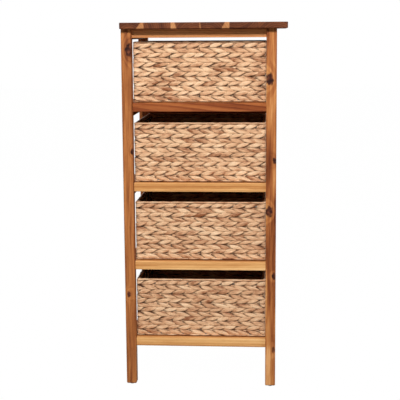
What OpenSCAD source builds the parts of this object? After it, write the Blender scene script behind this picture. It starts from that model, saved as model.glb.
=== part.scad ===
// Free-standing storage cabinet: an open acacia frame with four woven baskets that slide out.
// Origin: floor level under the middle of the top board, +Z up, the front faces -Y. Sizes in mm.

/* [Cabinet frame] */
// Height from the floor to the top surface
cabinet_h = 900; // [870:5:1000]
// Width over the outside faces of the legs
frame_w = 373; // [330:1:450]
// Depth over the outside faces of the legs
frame_d = 345; // [290:5:420]
// Side of the square legs
leg_w = 25; // [22:1:32]
// Rounding of the legs' long edges
leg_edge_r = 2; // [1:0.5:4]
// Chamfer round the foot of each leg
foot_chamfer = 2.5; // [1:0.5:4]

/* [Top board] */
// Thickness of the top board
top_t = 15; // [12:1:24]
// How far the top board passes the left legs
top_over_left = 1.5; // [0:0.5:30]
// How far the top board passes the right legs
top_over_right = 25.5; // [0:0.5:40]
// How far the top board passes the front legs
top_over_front = 15; // [5:1:30]
// How far the top board passes the back legs
top_over_back = 10; // [0:1:30]
// Rounding of the top board's corners, seen from above
top_corner_r = 4; // [2:0.5:12]
// Rounding along the top board's edges
top_edge_r = 2; // [0.5:0.5:5]

/* [Rails and shelves] */
// Height of the lowest shelf's upper face above the floor
low_shelf_h = 120; // [90:5:180]
// Height of the front rails
front_rail_h = 21; // [18:1:30]
// Thickness of every rail
rail_t = 14; // [11:1:17]
// Height of the side rails under the shelves
side_rail_h = 23; // [18:1:30]
// Height of the side rails under the top board
top_side_rail_h = 25; // [22:1:32]
// Height of the back rails
back_rail_h = 50; // [34:1:60]
// Rounding of the rails' long edges
rail_edge_r = 1.5; // [0.5:0.5:3]
// Thickness of the shelves
shelf_t = 12; // [9:1:16]
// Rounding of the shelves' edges
shelf_edge_r = 1; // [0.5:0.5:3]

/* [Baskets] */
// Free height between the top basket's rim and the top front rail
top_basket_gap = 9; // [5:1:40]
// Free height between each lower basket's rim and the front rail above it
basket_gap = 28; // [10:1:60]
// Free width between a basket and the legs on each side
basket_side_gap = 1; // [0.5:0.5:10]
// Distance from the front rail's back face to the basket's front
basket_front_gap = 2; // [1:0.5:20]
// Distance from the basket's back to the back legs
basket_back_gap = 3; // [1:0.5:20]
// Outer corner radius of a basket, seen from above
basket_corner_r = 14; // [13:1:45]
// Height of one plaited row of a basket's wall
plait_w = 24; // [18:1:32]
// Thickness of the plaited wall at the crown of a row
plait_t = 12; // [9:0.5:15]
// Thickness of the wall in the valley between two rows
valley_t = 7; // [5.5:0.5:8.5]
// Thickness of the plaited base
base_t = 8; // [6:0.5:12]
// Diameter of the twisted cord along the rim
rim_d = 7; // [5:0.5:9]

/* [Basket wires] */
// Diameter of the two wire rings
ring_wire_d = 4; // [3:0.5:5]
// Diameter of the upright and the base wires
upright_wire_d = 3; // [2:0.5:4]
// Largest distance between neighbouring upright wires
wire_pitch = 75; // [40:5:120]
// Height of the lower wire ring above the basket's foot
low_ring_z = 5; // [4:0.5:12]
// Depth of the upper wire ring below the top of the wall
high_ring_drop = 6; // [4:0.5:12]

/* [Fasteners and glides] */
// Diameter of the dowels
dowel_d = 6; // [5:1:7]
// Length of a dowel, half of it in each piece
dowel_l = 28; // [20:2:30]
// Distance from a rail's edge to its dowel, where two rails share a height
dowel_edge = 7; // [6:0.5:8]
// Shank diameter of the wood screws
screw_d = 3.5; // [3:0.5:5]
// How far a screw reaches into the board above its rail
screw_bite = 7; // [5:0.5:8]
// Distance from a rail's end to its first screw
screw_inset = 60; // [30:5:100]
// Diameter of the glide under each leg
glide_d = 13; // [10:1:18]
// Height of the glide under each leg
glide_t = 3; // [2:0.5:5]
// Diameter of the glide's nail
nail_d = 2.5; // [2:0.5:3]
// Length of the glide's nail in the leg
nail_l = 14; // [10:1:20]
// Radial clearance of dowels, screws and nails in their holes
hole_clear = 0.05; // [0.02:0.01:0.1]
// Clearance between pieces that rest close to each other
seat_clear = 0.3; // [0.2:0.05:0.5]

/* [Hidden] */
$fn = 48;
SHELVES = 4;
LEVELS = [1:SHELVES];
SIDES = [-1, 1];
over = 1;
hole_end = 0.5;
row_lap = 1.1;
acacia_light = "#c08552";
acacia = "#a8693c";
acacia_dark = "#6f4530";
hyacinth = "#d2a77c";
hyacinth_dark = "#b98c62";
steel = "#9a9c9e";
plastic = "#8d8f92";
beech = "#d9bd92";

// Places of the frame about the middle of the top board
top_w = frame_w + top_over_left + top_over_right;
top_d = frame_d + top_over_front + top_over_back;
mid_x = (top_over_left - top_over_right) / 2;
mid_y = (top_over_front - top_over_back) / 2;
under_top = cabinet_h - top_t;
leg_h = under_top - glide_t;
leg_x = frame_w / 2 - leg_w / 2;
leg_y = frame_d / 2 - leg_w / 2;
clear_w = frame_w - 2 * leg_w;
clear_d = frame_d - 2 * leg_w;

// Rails: the front and back rails are flush with the legs' inner faces, the side rails are centred
front_rail_y = -clear_d / 2 - rail_t / 2;
back_rail_y = clear_d / 2 + rail_t / 2;
shelf_w = frame_w - leg_w + rail_t;

// The shelves share the height between the lowest of them and the top board, and the baskets fill it
basket_h = (under_top - low_shelf_h - top_basket_gap - (SHELVES - 1) * basket_gap) / SHELVES - front_rail_h;
function shelf_top(k) = low_shelf_h + (SHELVES - k) * (basket_h + basket_gap + front_rail_h);
function side_top(k) = shelf_top(k) - shelf_t;

// Baskets
basket_w = clear_w - 2 * basket_side_gap;
basket_d = clear_d - basket_front_gap - basket_back_gap;
basket_y = mid_y + (basket_front_gap - basket_back_gap) / 2;
rim_flat = 1;
wall_h = basket_h - rim_d + rim_flat;
rows = round(wall_h / plait_w);
path_w = basket_w - plait_t;
path_d = basket_d - plait_t;
path_r = basket_corner_r - plait_t / 2;
base_lift = 1.5;
base_rows = round(path_d / plait_w);
high_ring_z = wall_h - high_ring_drop;

// Screws
head_d = 2 * screw_d;
head_t = 0.7 * screw_d;
tip_l = 1.2 * screw_d;
rail_screw_y = clear_d / 2 - screw_inset;
rail_screw_x = clear_w / 2 - screw_inset;

// Flat outline with rounded corners, centred
module rounded_rect(w, d, r) {
    square([w - 2 * r, d], center = true);
    square([w, d - 2 * r], center = true);
    for (x = SIDES, y = SIDES)
        translate([x * (w / 2 - r), y * (d / 2 - r)]) circle(r);
}

// Bar along X with eased long edges, centred on the origin
module bar_x(length, depth, height, r) {
    rotate([90, 0, 90])
        linear_extrude(length, center = true) rounded_rect(depth, height, r);
}

// Bar along Y with eased long edges, centred on the origin
module bar_y(length, width, height, r) {
    rotate([90, 0, 0])
        linear_extrude(length, center = true) rounded_rect(width, height, r);
}

// Peg or hole of a dowel along X, its joint plane at the origin
module dowel_x(clear, end) {
    rotate([0, 90, 0]) cylinder(h = dowel_l + 2 * end, d = dowel_d + 2 * clear, center = true);
}

module dowel_y(clear, end) {
    rotate([90, 0, 0]) cylinder(h = dowel_l + 2 * end, d = dowel_d + 2 * clear, center = true);
}

// Turned profile of a countersunk screw that points up, or of its hole with a clearance
module screw(length, clear, end) {
    r = screw_d / 2 + clear;
    h = head_d / 2 + clear;
    rotate_extrude()
        polygon([[0, -end], [h, -end], [h, 0], [r, head_t], [r, length - tip_l], [0, length + end]]);
}

// Joint planes of the front rails' dowels: on both ends of the top rail and of each shelf rail
module front_dowels(clear, end) {
    for (s = SIDES) translate([mid_x + s * clear_w / 2, mid_y + front_rail_y, 0]) {
        translate([0, 0, under_top - dowel_edge]) dowel_x(clear, end);
        for (k = LEVELS) translate([0, 0, shelf_top(k) - front_rail_h / 2]) dowel_x(clear, end);
    }
}

module side_dowels(clear, end) {
    for (s = SIDES, t = SIDES) translate([mid_x + s * leg_x, mid_y + t * clear_d / 2, 0]) {
        translate([0, 0, under_top - top_side_rail_h + dowel_edge]) dowel_y(clear, end);
        for (k = LEVELS) translate([0, 0, side_top(k) - side_rail_h / 2]) dowel_y(clear, end);
    }
}

// Each back rail has two dowels at each end, a quarter of its height from its edges
module back_dowels(clear, end) {
    for (s = SIDES, k = LEVELS, q = [0.25, 0.75])
        translate([mid_x + s * clear_w / 2, mid_y + back_rail_y, shelf_top(k) - q * back_rail_h])
            dowel_x(clear, end);
}

// Screws up through the side rails into each shelf
module shelf_fixings(clear, end) {
    for (k = LEVELS, s = SIDES, t = SIDES)
        translate([mid_x + s * leg_x, mid_y + t * rail_screw_y, side_top(k) - side_rail_h])
            screw(side_rail_h + screw_bite, clear, end);
}

// Screws up through the top side rails and the top front rail into the top board
module top_fixings(clear, end) {
    for (s = SIDES, t = SIDES)
        translate([mid_x + s * leg_x, mid_y + t * rail_screw_y, under_top - top_side_rail_h])
            screw(top_side_rail_h + screw_bite, clear, end);
    for (s = SIDES)
        translate([mid_x + s * rail_screw_x, mid_y + front_rail_y, under_top - front_rail_h])
            screw(front_rail_h + screw_bite, clear, end);
}

module glide(clear) {
    rotate_extrude()
        polygon([[0, 0], [glide_d / 2 - glide_t / 2, 0], [glide_d / 2, glide_t / 2],
                 [glide_d / 2, glide_t], [nail_d / 2 + clear, glide_t],
                 [nail_d / 2 + clear, glide_t + nail_l - nail_d + clear],
                 [0, glide_t + nail_l + clear]]);
}

module floor_glides() {
    color(plastic)
        for (s = SIDES, t = SIDES) translate([mid_x + s * leg_x, mid_y + t * leg_y, 0]) glide(0);
}

module top_board() {
    color(acacia_dark)
        difference() {
            intersection() {
                translate([0, 0, under_top]) linear_extrude(top_t) rounded_rect(top_w, top_d, top_corner_r);
                translate([0, 0, under_top + top_t / 2]) bar_x(top_w + over, top_d, top_t, top_edge_r);
                translate([0, 0, under_top + top_t / 2]) bar_y(top_d + over, top_w, top_t, top_edge_r);
            }
            top_fixings(hole_clear, hole_end);
        }
}

// One leg: s is -1 on the left and 1 on the right, t is -1 at the front and 1 at the back
module leg(s, t) {
    color(acacia)
        difference() {
            translate([mid_x + s * leg_x, mid_y + t * leg_y, glide_t])
                difference() {
                    linear_extrude(leg_h) rounded_rect(leg_w, leg_w, leg_edge_r);
                    for (a = [0:90:270]) rotate([0, 0, a]) translate([leg_w / 2, 0, 0])
                        rotate([0, 45, 0])
                            cube([foot_chamfer * sqrt(2), leg_w + over, foot_chamfer * sqrt(2)], center = true);
                }
            translate([mid_x + s * leg_x, mid_y + t * leg_y, 0]) glide(hole_clear);
            side_dowels(hole_clear, hole_end);
            if (t < 0) front_dowels(hole_clear, hole_end);
            else back_dowels(hole_clear, hole_end);
        }
}

module top_front_rail() {
    color(acacia_light)
        difference() {
            translate([mid_x, mid_y + front_rail_y, under_top - front_rail_h / 2])
                bar_x(clear_w, rail_t, front_rail_h, rail_edge_r);
            front_dowels(hole_clear, hole_end);
            top_fixings(hole_clear, hole_end);
        }
}

module top_side_rail(s) {
    color(acacia)
        difference() {
            translate([mid_x + s * leg_x, mid_y, under_top - top_side_rail_h / 2])
                bar_y(clear_d, rail_t, top_side_rail_h, rail_edge_r);
            side_dowels(hole_clear, hole_end);
            top_fixings(hole_clear, hole_end);
        }
}

module front_rail(k) {
    color(acacia_light)
        difference() {
            translate([mid_x, mid_y + front_rail_y, shelf_top(k) - front_rail_h / 2])
                bar_x(clear_w, rail_t, front_rail_h, rail_edge_r);
            front_dowels(hole_clear, hole_end);
        }
}

module side_rail(k, s) {
    color(acacia)
        difference() {
            translate([mid_x + s * leg_x, mid_y, side_top(k) - side_rail_h / 2])
                bar_y(clear_d, rail_t, side_rail_h, rail_edge_r);
            side_dowels(hole_clear, hole_end);
            shelf_fixings(hole_clear, hole_end);
        }
}

module back_rail(k) {
    color(acacia)
        difference() {
            translate([mid_x, mid_y + back_rail_y, shelf_top(k) - back_rail_h / 2])
                bar_x(clear_w, rail_t, back_rail_h, rail_edge_r);
            back_dowels(hole_clear, hole_end);
        }
}

// The shelf lies on the side rails, between the front and the back rail
module shelf(k) {
    color(acacia)
        difference() {
            translate([mid_x, mid_y, shelf_top(k) - shelf_t / 2])
                bar_x(shelf_w, clear_d, shelf_t, shelf_edge_r);
            shelf_fixings(hole_clear, hole_end);
        }
}

// Cross-section of one plaited row: a lens as high as the row and as thick as the wall
module row_section(high, thick) {
    r = (high * high + thick * thick) / (4 * thick);
    intersection() {
        translate([r - thick / 2, 0]) circle(r, $fn = 96);
        translate([thick / 2 - r, 0]) circle(r, $fn = 96);
    }
}

// Stack of rows with half a row at its foot and at its top, centred on x = 0
module row_stack(height, count, thick, valley) {
    intersection() {
        translate([-thick / 2, 0]) square([thick, height]);
        union() {
            translate([-valley / 2, 0]) square([valley, height]);
            for (i = [0:count]) translate([0, i * height / count]) row_section(height / count * row_lap, thick);
        }
    }
}

// Sweeps a flat section, x outwards and y up, round the baskets' rounded rectangle
module basket_path() {
    long_x = path_w - 2 * path_r;
    long_y = path_d - 2 * path_r;
    for (a = [0, 180]) rotate([0, 0, a]) {
        translate([path_w / 2, 0, 0])
            rotate([90, 0, 0]) linear_extrude(long_y, center = true) children();
        translate([0, path_d / 2, 0])
            rotate([90, 0, 90]) linear_extrude(long_x, center = true) children();
        translate([long_x / 2, long_y / 2, 0])
            rotate_extrude(angle = 90) translate([path_r, 0]) children();
        translate([-long_x / 2, long_y / 2, 0])
            rotate([0, 0, 90]) rotate_extrude(angle = 90) translate([path_r, 0]) children();
    }
}

module at_basket(k) {
    translate([mid_x, basket_y, shelf_top(k) + seat_clear]) children();
}

module basket_wall(k) {
    color(hyacinth)
        at_basket(k) basket_path() row_stack(wall_h, rows, plait_t, valley_t);
}

// The base is plaited in rows from side to side and lies inside the wall's lowest row
module basket_base(k) {
    inner_w = path_w - plait_t - 2 * seat_clear;
    inner_d = path_d - plait_t - 2 * seat_clear;
    inner_r = path_r - plait_t / 2 - seat_clear;
    color(hyacinth_dark)
        at_basket(k) translate([0, 0, base_lift])
            intersection() {
                linear_extrude(base_t) rounded_rect(inner_w, inner_d, inner_r);
                translate([0, 0, base_t / 2]) rotate([0, 90, 0]) linear_extrude(path_w, center = true)
                    translate([0, -path_d / 2]) row_stack(path_d, base_rows, base_t, base_t / 2);
            }
}

// Twisted cord on top of the wall, cut flat where it lies on the wall
module basket_rim(k) {
    color(hyacinth_dark)
        at_basket(k) translate([0, 0, wall_h]) basket_path()
            intersection() {
                translate([0, rim_d / 2 - rim_flat]) circle(d = rim_d);
                translate([-rim_d / 2, 0]) square(rim_d);
            }
}

// Upright wires stand between the two rings, and the base wires cross the lower ring
module basket_wires(k) {
    count_x = ceil((path_w - 2 * path_r) / wire_pitch);
    count_y = ceil((path_d - 2 * path_r) / wire_pitch);
    step_x = (path_w - 2 * path_r) / count_x;
    step_y = (path_d - 2 * path_r) / count_y;
    color(steel)
        at_basket(k) {
            for (z = [low_ring_z, high_ring_z])
                translate([0, 0, z]) basket_path() circle(d = ring_wire_d);
            for (s = SIDES, i = [0:count_x])
                translate([(i - count_x / 2) * step_x, s * path_d / 2, low_ring_z])
                    cylinder(h = high_ring_z - low_ring_z, d = upright_wire_d);
            for (s = SIDES, i = [0:count_y])
                translate([s * path_w / 2, (i - count_y / 2) * step_y, low_ring_z])
                    cylinder(h = high_ring_z - low_ring_z, d = upright_wire_d);
            for (i = [1:count_x - 1])
                translate([(i - count_x / 2) * step_x, 0, low_ring_z])
                    rotate([90, 0, 0]) cylinder(h = path_d, d = upright_wire_d, center = true);
        }
}

module front_rail_dowels() { color(beech) front_dowels(0, 0); }
module side_rail_dowels() { color(beech) side_dowels(0, 0); }
module back_rail_dowels() { color(beech) back_dowels(0, 0); }
module shelf_screws() { color(steel) shelf_fixings(0, 0); }
module top_screws() { color(steel) top_fixings(0, 0); }

top_board();
leg(-1, -1);  // leg_front_left
leg(1, -1);  // leg_front_right
leg(-1, 1);  // leg_back_left
leg(1, 1);  // leg_back_right
floor_glides();
top_front_rail();
top_side_rail(-1);  // top_side_rail_left
top_side_rail(1);  // top_side_rail_right
for (k = LEVELS) {
    front_rail(k);
    side_rail(k, -1);
    side_rail(k, 1);
    back_rail(k);
    shelf(k);
    basket_wall(k);
    basket_base(k);
    basket_rim(k);
    basket_wires(k);
}
front_rail_dowels();
side_rail_dowels();
back_rail_dowels();
shelf_screws();
top_screws();
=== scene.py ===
import math
from functools import partial

import bpy
from mathutils import Matrix, Vector


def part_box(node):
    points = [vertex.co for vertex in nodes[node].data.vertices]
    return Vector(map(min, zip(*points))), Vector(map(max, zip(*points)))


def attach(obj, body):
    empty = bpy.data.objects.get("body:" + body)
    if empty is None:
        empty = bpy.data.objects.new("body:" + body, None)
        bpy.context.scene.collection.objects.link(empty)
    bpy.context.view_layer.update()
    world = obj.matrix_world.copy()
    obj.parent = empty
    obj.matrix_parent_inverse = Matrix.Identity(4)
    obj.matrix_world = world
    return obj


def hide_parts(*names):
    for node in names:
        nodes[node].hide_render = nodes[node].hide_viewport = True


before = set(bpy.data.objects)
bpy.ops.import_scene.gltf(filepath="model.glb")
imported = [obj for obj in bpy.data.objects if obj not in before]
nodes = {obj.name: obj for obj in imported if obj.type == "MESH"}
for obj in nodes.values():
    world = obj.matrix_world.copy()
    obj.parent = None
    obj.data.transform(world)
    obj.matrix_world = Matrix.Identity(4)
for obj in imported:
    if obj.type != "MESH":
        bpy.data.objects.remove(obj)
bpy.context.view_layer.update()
mm = 0.001
shelves = (1, 2, 3, 4)
noiseLow, noiseHigh = 0.3, 0.7  # nearly all values of a noise lie between these
eased = {"interpolation_type": "SMOOTHSTEP"}


# sRGB hex to the linear colour that the shader sockets hold
def linear(hexCode):
    parts = [int(hexCode[i : i + 2], 16) / 255 for i in (1, 3, 5)]
    return [c / 12.92 if c <= 0.04045 else ((c + 0.055) / 1.055) ** 2.4 for c in parts] + [1.0]


white = linear("#ffffff")


# sets an input, or links it to a socket or to the first output of a node
def feed(tree, socket, value):
    if isinstance(value, bpy.types.Node):
        value = value.outputs[0]
    if isinstance(value, bpy.types.NodeSocket):
        tree.links.new(value, socket)
    else:
        socket.default_value = value


# adds one node; its kind is named without the prefix of its class, such as ShaderNode;
# on Map Range, inputs 1 and 2 are the range that it reads, 3 and 4 the range that it gives, else 0 to 1
def addNode(tree, kind, inputs=None, operation=None, **settings):
    prefixes = (tree.bl_idname.replace("Tree", ""), "ShaderNode", "FunctionNode", "Node")
    made = tree.nodes.new(next(prefix + kind for prefix in prefixes if hasattr(bpy.types, prefix + kind)))
    if operation:
        made.operation = operation
    for name, value in settings.items():
        setattr(made, name, value)
    for key, value in (inputs or {}).items():
        feed(tree, made.inputs[key], value)
    return made


# fills a ColorRamp node with (position, hex) stops
def fillRamp(ramp, stops):
    elements = ramp.color_ramp.elements
    while len(elements) > len(stops):
        elements.remove(elements[-1])
    while len(elements) < len(stops):
        elements.new(0.5)
    for element, (place, hexCode) in zip(elements, stops):
        element.position = place
        element.color = linear(hexCode)
    return ramp


# a new material, and what adds nodes to it
def newMaterial(name):
    made = bpy.data.materials.new(name)
    made.use_nodes = True
    made.node_tree.nodes.clear()
    return made, partial(addNode, made.node_tree)


# a new node group with these sockets: the tree, what adds nodes to it, and the inputs that it is given
def newGroup(name, kind, inputs, outputs):
    tree = bpy.data.node_groups.new(name, kind)
    for way, sockets in (("INPUT", inputs), ("OUTPUT", outputs)):
        for label, form in sockets.items():
            tree.interface.new_socket(label, in_out=way, socket_type="NodeSocket" + form)
    return tree, partial(addNode, tree), addNode(tree, "GroupInput").outputs


def newObject(name, data):
    made = bpy.data.objects.new(name, data)
    bpy.context.scene.collection.objects.link(made)
    return made


# the camera stands where a fit of the photograph's edges puts it, a little right of centre and looking down
camera = {
    "place": (0.167, -2.6327, 0.875),
    "yaw": -0.072,  # radians, to the left
    "pitch": -0.1615,  # radians, downwards
    "roll": -0.0062,
    "lens": 92.33,  # millimetres, as is the sensor
    "sensor": 36,
}


def makeCamera():
    data = bpy.data.cameras.new("camera")
    data.lens = camera["lens"]
    data.sensor_width = camera["sensor"]
    cosYaw, sinYaw = math.cos(camera["yaw"]), math.sin(camera["yaw"])
    cosPitch, sinPitch = math.cos(camera["pitch"]), math.sin(camera["pitch"])
    cosRoll, sinRoll = math.cos(camera["roll"]), math.sin(camera["roll"])
    ahead = Vector((sinYaw * cosPitch, cosYaw * cosPitch, sinPitch))
    level = Vector((cosYaw, -sinYaw, 0))
    upright = level.cross(ahead)
    right = level * cosRoll + upright * sinRoll
    up = upright * cosRoll - level * sinRoll
    turn = Matrix((right, up, -ahead)).transposed().to_4x4()
    made = newObject("camera", data)
    made.matrix_world = Matrix.Translation(camera["place"]) @ turn
    bpy.context.scene.camera = made


studio = {
    "floorHalf": 14.0,
    "floorColour": "#a3a19e",
    "floorRoughness": 0.9,
    "floorGlow": 0.985,  # share of plain white that the camera sees, the rest keeps the shadow
    "floorWhite": 1.01,
    "skyStrength": 0.03,
    "aim": (0, 0, 0.5),
    # lamps: power in watts, place and size in metres
    "lamps": {
        "key": (122.5, (-0.2, -2.75, 2.58), 0.6),
        "fill": (27.0, (2.3, -2.3, 3.0), 1.2),
        "back": (45.0, (-2.2, 2.8, 1.5), 1.6),
        "side": (22.0, (2.9, 1.0, 1.3), 1.4),
    },
}


# 1 for what the camera sees, also mirrored in metal or through glass, and 0 for the light on the object
def inSight(add):
    path = add("LightPath")
    seen = path.outputs["Is Camera Ray"]
    for ray in ("Is Glossy Ray", "Is Transmission Ray"):
        seen = add("Math", {0: seen, 1: path.outputs[ray]}, "MAXIMUM")
    return seen


def makeFloor():
    half = studio["floorHalf"]
    mesh = bpy.data.meshes.new("floor")
    corners = [(-half, -half, 0), (half, -half, 0), (half, half, 0), (-half, half, 0)]
    mesh.from_pydata(corners, [], [(0, 1, 2, 3)])
    floor = newObject("floor", mesh)
    made, add = newMaterial("paleStudioFloor")
    paint = add("BsdfPrincipled",
                {"Base Color": linear(studio["floorColour"]), "Roughness": studio["floorRoughness"]})
    glow = add("Emission", {"Color": white, "Strength": studio["floorWhite"]})
    share = add("Math", {0: inSight(add), 1: studio["floorGlow"]}, "MULTIPLY")
    mixed = add("MixShader", {0: share, 1: paint, 2: glow})
    add("OutputMaterial", {"Surface": mixed})
    mesh.materials.append(made)


def makeWorld():
    world = bpy.data.worlds.new("studio")
    world.use_nodes = True
    world.node_tree.nodes.clear()
    add = partial(addNode, world.node_tree)
    sky = add("Background", {"Color": white, "Strength": studio["skyStrength"]})
    backdrop = add("Background", {"Color": white, "Strength": 1.0})
    mixed = add("MixShader", {0: inSight(add), 1: sky, 2: backdrop})
    add("OutputWorld", {"Surface": mixed})
    bpy.context.scene.world = world


def makeLamps():
    for name, (power, place, size) in studio["lamps"].items():
        data = bpy.data.lights.new(name, "AREA")
        data.energy = power
        data.size = size
        lamp = newObject(name, data)
        lamp.location = place
        lamp.rotation_mode = "QUATERNION"
        lamp.rotation_quaternion = (Vector(studio["aim"]) - lamp.location).to_track_quat("-Z", "Y")


makeCamera()
makeFloor()
makeWorld()
makeLamps()
bpy.context.scene.view_settings.view_transform = "Standard"
print("camera and studio ready")

# acacia, planed and oiled: rings round a pith, streaks along the fibres, short open pores; in millimetres
timber = {
    # noises: size across the fibres, size along them, detail
    "bend": (60.0, 420.0, 2.0),
    "fibre": (2.4, 60.0, 3.0),
    "streak": (7.0, 190.0, 2.0),
    "drift": (32.5, 260.0, 1.0),
    "pore": (0.9, 11.0, 1.0),  # real pores are 0.2 mm wide, drawn wider so that they show
    "poreEdge": (0.62, 0.72),  # values of the noise from no pore to a full one
    "waver": 9.0,  # how far the rings stray
    # shares of a ring over which its dark line comes and goes
    "lineComes": (0.35, 0.95),
    "lineGoes": (0.93, 1.0),
    "yearScale": 0.37,  # of the noise that gives each ring a tone of its own
    "yearTones": (0.38, 0.86),
    "poreTone": -0.16,
    "fibreTone": 0.5,
    "driftTone": 0.45,
    "roughness": (0.5, 0.66),  # of the darkest and the lightest wood
    "sheen": 0.11,  # oil leaves a low gloss
    "poreDepth": 0.25,
    "poreRelief": 0.6,
}

figureInputs = {
    "Spot": "Vector",  # from the pith, with the grain along Z
    "Away": "Vector",  # moves the noises, so that no two pieces are alike
    "Ring Width": "Float",
    "Waver": "Float",
    "Push": "Float",  # outwards, round a knot
    "Line Tone": "Float",
    "Streak Tone": "Float",
}


def makeFigureTree():
    outputs = {"Tone": "Float", "Pores": "Float"}
    tree, add, given = newGroup("acaciaFigure", "ShaderNodeTree", figureInputs, outputs)
    far = add("VectorMath", {0: given["Spot"], 1: given["Away"]}, "ADD")
    noises = {}
    for name in ("bend", "fibre", "streak", "drift", "pore"):
        across, along, detail = timber[name]
        size = (1 / (across * mm), 1 / (across * mm), 1 / (along * mm))
        scaled = add("VectorMath", {0: far, 1: size}, "MULTIPLY")
        noises[name] = add("TexNoise", {"Vector": scaled, "Scale": 1.0, "Detail": detail})

    # distance from the pith, with slow bends, counted in rings
    centred = add("VectorMath", {0: noises["bend"].outputs["Color"], 1: (0.5, 0.5, 0.5)}, "SUBTRACT")
    bending = add("VectorMath", {0: centred, "Scale": given["Waver"]}, "SCALE")
    bent = add("VectorMath", {0: given["Spot"], 1: bending}, "ADD")
    flat = add("VectorMath", {0: bent, 1: (1, 1, 0)}, "MULTIPLY")
    reach = add("VectorMath", {0: flat}, "LENGTH")
    pushed = add("Math", {0: reach.outputs["Value"], 1: given["Push"]}, "ADD")
    ring = add("Math", {0: pushed, 1: given["Ring Width"]}, "DIVIDE")
    share = add("Math", {0: ring}, "FRACT")
    (start, full), (last, end) = timber["lineComes"], timber["lineGoes"]
    comes = add("MapRange", {"Value": share, 1: start, 2: full}, **eased)
    goes = add("MapRange", {"Value": share, 1: last, 2: end, 3: 1.0, 4: 0.0}, **eased)
    line = add("Math", {0: comes, 1: goes}, "MULTIPLY")
    years = add("TexNoise", {"W": ring, "Scale": timber["yearScale"], "Detail": 1.0}, noise_dimensions="1D")
    start, full = timber["poreEdge"]
    pores = add("MapRange", {"Value": noises["pore"], 1: start, 2: full})

    # tone: 0 is the darkest, 1 the lightest
    dark, light = timber["yearTones"]
    tone = add("MapRange", {"Value": years, 1: noiseLow, 2: noiseHigh, 3: dark, 4: light})
    for source, amount in ((line, given["Line Tone"]), (pores, timber["poreTone"])):
        tone = add("Math", {0: source, 1: amount, 2: tone}, "MULTIPLY_ADD")
    amounts = {"fibre": timber["fibreTone"], "streak": given["Streak Tone"], "drift": timber["driftTone"]}
    for name, amount in amounts.items():
        middle = add("Math", {0: noises[name], 1: 0.5}, "SUBTRACT")
        tone = add("Math", {0: middle, 1: amount, 2: tone}, "MULTIPLY_ADD")
    add("GroupOutput", {"Tone": tone, "Pores": pores})
    return tree


figureTree = makeFigureTree()

# turns that lay a piece's length on the local Z
lengthTurns = {"x": (0, math.radians(-90), 0), "y": (math.radians(90), 0, 0), "z": (0, 0, 0)}


# gives a node of the frame its material
def dress(name, made):
    mesh = nodes[name].data
    for index in range(len(mesh.materials)):
        mesh.materials[index] = made


# colour, roughness and pores of one timber piece, from its tone; a layer is a mask and the colour it lays on
def finishTimber(add, tone, pores, stops, layers):
    colour = fillRamp(add("ValToRGB", {0: tone}), stops)
    for mask, over in layers:
        colour = add("Mix", {"Factor": mask, 6: colour, 7: over}, data_type="RGBA").outputs[2]
    dark, light = timber["roughness"]
    satin = add("MapRange", {"Value": tone, 3: dark, 4: light})
    pits = add("Math", {0: pores, 1: -1.0}, "MULTIPLY")
    relief = add("Bump",
                 {"Height": pits, "Strength": timber["poreRelief"], "Distance": timber["poreDepth"] * mm})
    wood = add("BsdfPrincipled", {
        "Base Color": colour, "Roughness": satin, "Specular IOR Level": timber["sheen"], "Normal": relief,
    })
    add("OutputMaterial", {"Surface": wood})


# knots: the ragged dark heart, and how far round it the rings bend, both counted in half sizes of the knot
knotLook = {
    "stops": [(0.34, "#240e08"), (0.5, "#462217"), (0.66, "#724029")],
    "raggedScale": 110.0,  # notches to the metre
    "raggedDetail": 1.5,
    "ragged": 1.3,  # how deep the notches are
    "heartEdge": (1.4, 1.9),
    "depth": 4,  # into the wood
    "bendReach": 3.4,
    "bend": 2.2,  # how far the rings are pushed
}

# places from the front, x to the right and z up, and half sizes, in millimetres, then how dark the heart is
knots = {
    "leg_front_left": [(-180, 834, 7.5, 13.5, 1), (-175, 592, 4, 7, 1), (-189.5, 235, 5.4, 8, 1)],
    "leg_front_right": [(158, 765, 9.5, 15, 1), (171, 570, 4.5, 9, 1), (158, 446, 9, 13, 1),
                        (170, 284, 5, 9, 1), (170, 96, 4, 8, 0.8)],
}


# gives the push on the rings, which flow round the knots, and the layer of the hearts
def addKnots(add, place, found, faceY):
    push, mask = 0.0, 0.0
    ragged = add("TexNoise",
                 {"Vector": place, "Scale": knotLook["raggedScale"], "Detail": knotLook["raggedDetail"]})
    for x, z, wide, high, dark in found:
        away = add("VectorMath", {0: place, 1: (x * mm, faceY, z * mm)}, "SUBTRACT")
        size = (1 / (wide * mm), 1 / (knotLook["depth"] * wide * mm), 1 / (high * mm))
        scaled = add("VectorMath", {0: away, 1: size}, "MULTIPLY")
        reach = add("VectorMath", {0: scaled}, "LENGTH").outputs["Value"]
        uneven = add("Math", {0: ragged, 1: knotLook["ragged"], 2: reach}, "MULTIPLY_ADD")
        bend = wide * knotLook["bend"] * mm
        near = add("MapRange", {"Value": reach, 2: knotLook["bendReach"], 3: bend, 4: 0.0}, **eased)
        start, end = knotLook["heartEdge"]
        heart = add("MapRange", {"Value": uneven, 1: start, 2: end, 3: dark, 4: 0.0}, **eased)
        push = add("Math", {0: near, 1: push}, "ADD")
        mask = add("Math", {0: heart, 1: mask}, "MAXIMUM")
    heartColour = fillRamp(add("ValToRGB", {0: ragged}), knotLook["stops"])
    return push, [(mask, heartColour)]


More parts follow.
